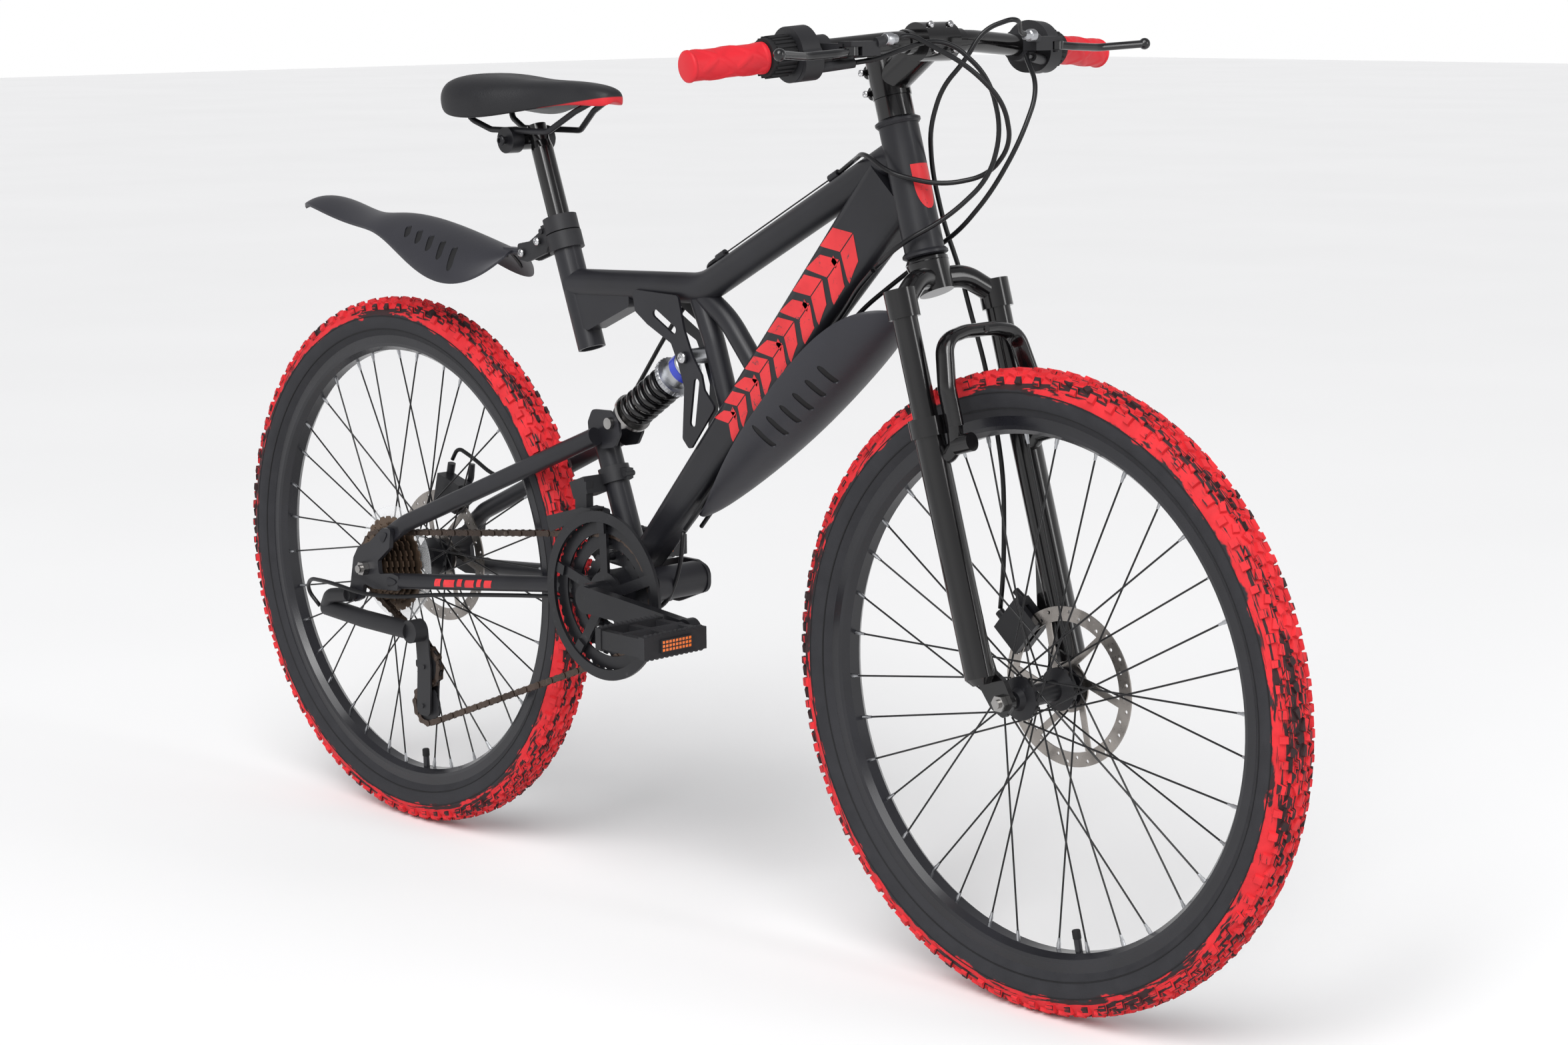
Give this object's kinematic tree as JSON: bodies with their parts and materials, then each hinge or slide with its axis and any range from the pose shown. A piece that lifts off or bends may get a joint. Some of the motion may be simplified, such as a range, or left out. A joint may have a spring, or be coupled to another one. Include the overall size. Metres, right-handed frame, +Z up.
{
  "type": "mountain bike",
  "caption": "Full-suspension mountain bike with monocoque-style tubing, coil shock, telescopic fork, disc brakes, mudguards and twist shifters.",
  "frame": {"origin": "on the ground, midway between the two wheel hubs, in the wheels' middle plane", "axes": "+X forward, +Y to the rider's left, +Z up"},
  "size_m": [1.682, 0.5972, 0.9894],
  "materials": {
    "satin_black": "satin",
    "gloss_black": "gloss",
    "black_plastic": "matte",
    "cable_black": "satin",
    "saddle_black": "matte",
    "steel_black": "satin",
    "lever_black": "gloss",
    "grip_red": "matte",
    "tyre_red": "matte",
    "rim_black": "satin",
    "spoke_black": "satin",
    "bright_steel": "brushed",
    "silver": "satin",
    "chain_brown": "worn",
    "clear_plastic": "clear"
  },
  "bodies": {
    "frame": {"head_tube": "satin_black", "top_tube": "satin_black", "down_tube": "satin_black", "seat_tube": "satin_black", "frame_struts": "satin_black", "shock_mount": "satin_black", "down_tube_fender": "black_plastic", "fender_bracket": "black_plastic", "frame_cables": "cable_black"},
    "rear_fender": {"rear_fender": "black_plastic"},
    "seat_post": {"seatpost": "gloss_black"},
    "saddle": {"saddle_rails": "steel_black", "saddle_pad": "saddle_black"},
    "steering": {"fork_crown": "gloss_black", "stanchions": "gloss_black", "stem": "gloss_black", "handlebar": "gloss_black", "grips": "grip_red", "control_mounts": "black_plastic", "control_cables": "cable_black"},
    "twist_right": {"twist_grip_right": "black_plastic"},
    "twist_left": {"twist_grip_left": "black_plastic"},
    "lever_right": {"brake_lever_right": "lever_black"},
    "lever_left": {"brake_lever_left": "lever_black"},
    "fork_slider": {"fork_lowers": "gloss_black", "front_axle": "bright_steel", "front_caliper": "steel_black", "front_brake_hose": "cable_black"},
    "front_wheel": {"front_tyre": "tyre_red", "front_rim": "rim_black", "front_spokes": "spoke_black", "front_hub": "steel_black", "front_rotor": "bright_steel"},
    "swingarm": {"swing_seat_tube": "satin_black", "shock_ears": "satin_black", "chainstays": "satin_black", "seatstays": "satin_black", "suspension_bolts": "bright_steel", "rear_axle": "bright_steel", "rear_caliper": "steel_black", "rear_derailleur": "black_plastic", "front_derailleur": "black_plastic", "chain": "chain_brown", "swing_cables": "cable_black"},
    "shock": {"shock_body": "silver"},
    "shock_rod": {"shock_shaft": "bright_steel", "shock_spring": "steel_black"},
    "crankset": {"crank_arms": "steel_black", "chainrings": "steel_black"},
    "pedal_r": {"pedal_right": "black_plastic"},
    "pedal_l": {"pedal_left": "black_plastic"},
    "freewheel": {"freewheel": "chain_brown"},
    "rear_wheel": {"rear_tyre": "tyre_red", "rear_rim": "rim_black", "rear_spokes": "spoke_black", "rear_hub": "steel_black", "rear_rotor": "bright_steel", "spoke_guard": "clear_plastic"},
    "pulley_guide": {"guide_pulley": "black_plastic"},
    "pulley_tension": {"tension_pulley": "black_plastic"}
  },
  "joints": [
    {"name": "steering_turn", "type": "hinge", "parent": "frame", "child": "steering", "pos_m": [0.3582, 0, 0.7516], "axis": [-0.2823, 0, 0.9593], "range_deg": [-45, 45], "deforming": ["control_cables"]},
    {"name": "fork_compression", "type": "slide", "parent": "steering", "child": "fork_slider", "axis": [-0.2823, 0, 0.9593], "range_m": [0, 0.04], "stiffness_N_per_m": 9000, "springref_m": -0.01, "deforming": ["front_brake_hose"]},
    {"name": "front_wheel_spin", "type": "hinge", "parent": "fork_slider", "child": "front_wheel", "pos_m": [0.515, 0, 0.326], "axis": [0, 1, 0], "continuous": true},
    {"name": "twist_right_turn", "type": "hinge", "parent": "steering", "child": "twist_right", "pos_m": [0.34398, -0.2, 0.95502], "axis": [-0.1483, -0.9861, -0.0744], "range_deg": [-50, 50]},
    {"name": "twist_left_turn", "type": "hinge", "parent": "steering", "child": "twist_left", "pos_m": [0.34398, 0.2, 0.95502], "axis": [-0.1483, 0.9861, -0.0744], "range_deg": [-35, 35]},
    {"name": "brake_pull_right", "type": "hinge", "parent": "steering", "child": "lever_right", "pos_m": [0.3998, -0.148, 0.95894], "axis": [0, 0, -1], "range_deg": [0, 20], "stiffness_Nm_per_rad": 2, "springref_deg": -11.46},
    {"name": "brake_pull_left", "type": "hinge", "parent": "steering", "child": "lever_left", "pos_m": [0.3998, 0.148, 0.95894], "axis": [0, 0, 1], "range_deg": [0, 20], "stiffness_Nm_per_rad": 2, "springref_deg": -11.46},
    {"name": "rear_suspension", "type": "hinge", "parent": "frame", "child": "swingarm", "pos_m": [-0.032, 0, 0.365], "axis": [0, 1, 0], "range_deg": [0, 8.5], "deforming": ["swing_cables"]},
    {"name": "shock_swing", "type": "hinge", "parent": "frame", "child": "shock", "pos_m": [0.014, 0, 0.623], "axis": [0, 1, 0], "range_deg": [-3, 0.2]},
    {"name": "shock_stroke", "type": "slide", "parent": "shock", "child": "shock_rod", "axis": [0.8331, 0, 0.5532], "range_m": [0, 0.028], "deforming": ["shock_spring"]},
    {"name": "crank_spin", "type": "hinge", "parent": "swingarm", "child": "crankset", "pos_m": [-0.083, 0, 0.35], "axis": [0, 1, 0], "continuous": true},
    {"name": "pedal_right_spin", "type": "hinge", "parent": "crankset", "child": "pedal_r", "pos_m": [0.08668, -0.138, 0.33962], "axis": [0, 1, 0], "continuous": true},
    {"name": "pedal_left_spin", "type": "hinge", "parent": "crankset", "child": "pedal_l", "pos_m": [-0.25268, 0.138, 0.36038], "axis": [0, 1, 0], "continuous": true},
    {"name": "freewheel_spin", "type": "hinge", "parent": "swingarm", "child": "freewheel", "pos_m": [-0.515, 0, 0.326], "axis": [0, 1, 0], "continuous": true},
    {"name": "rear_wheel_spin", "type": "hinge", "parent": "swingarm", "child": "rear_wheel", "pos_m": [-0.515, 0, 0.326], "axis": [0, 1, 0], "continuous": true},
    {"name": "guide_pulley_spin", "type": "hinge", "parent": "swingarm", "child": "pulley_guide", "pos_m": [-0.428, -0.0475, 0.213], "axis": [0, 1, 0], "continuous": true},
    {"name": "tension_pulley_spin", "type": "hinge", "parent": "swingarm", "child": "pulley_tension", "pos_m": [-0.432, -0.0475, 0.164], "axis": [0, 1, 0], "continuous": true},
    {"name": "seat_height", "type": "slide", "parent": "frame", "child": "seat_post", "axis": [-0.3444, 0, 0.9388], "range_m": [-0.05, 0.06]},
    {"name": "saddle_tilt", "type": "hinge", "parent": "seat_post", "child": "saddle", "pos_m": [-0.276, 0, 0.85], "axis": [0, 1, 0], "range_deg": [-10, 10]},
    {"name": "fender_tilt", "type": "hinge", "parent": "frame", "child": "rear_fender", "pos_m": [-0.274, 0, 0.72], "axis": [0, 1, 0], "range_deg": [0, 20]}
  ],
  "couplings": [
    {"joint": "shock_swing", "follows": "rear_suspension", "ratio": -0.3278},
    {"joint": "shock_stroke", "follows": "rear_suspension", "m_per_rad": 0.18576},
    {"joint": "freewheel_spin", "follows": "crank_spin", "ratio": 1.7},
    {"joint": "guide_pulley_spin", "follows": "crank_spin", "ratio": -3.0909},
    {"joint": "tension_pulley_spin", "follows": "crank_spin", "ratio": 3.0909}
  ]
}
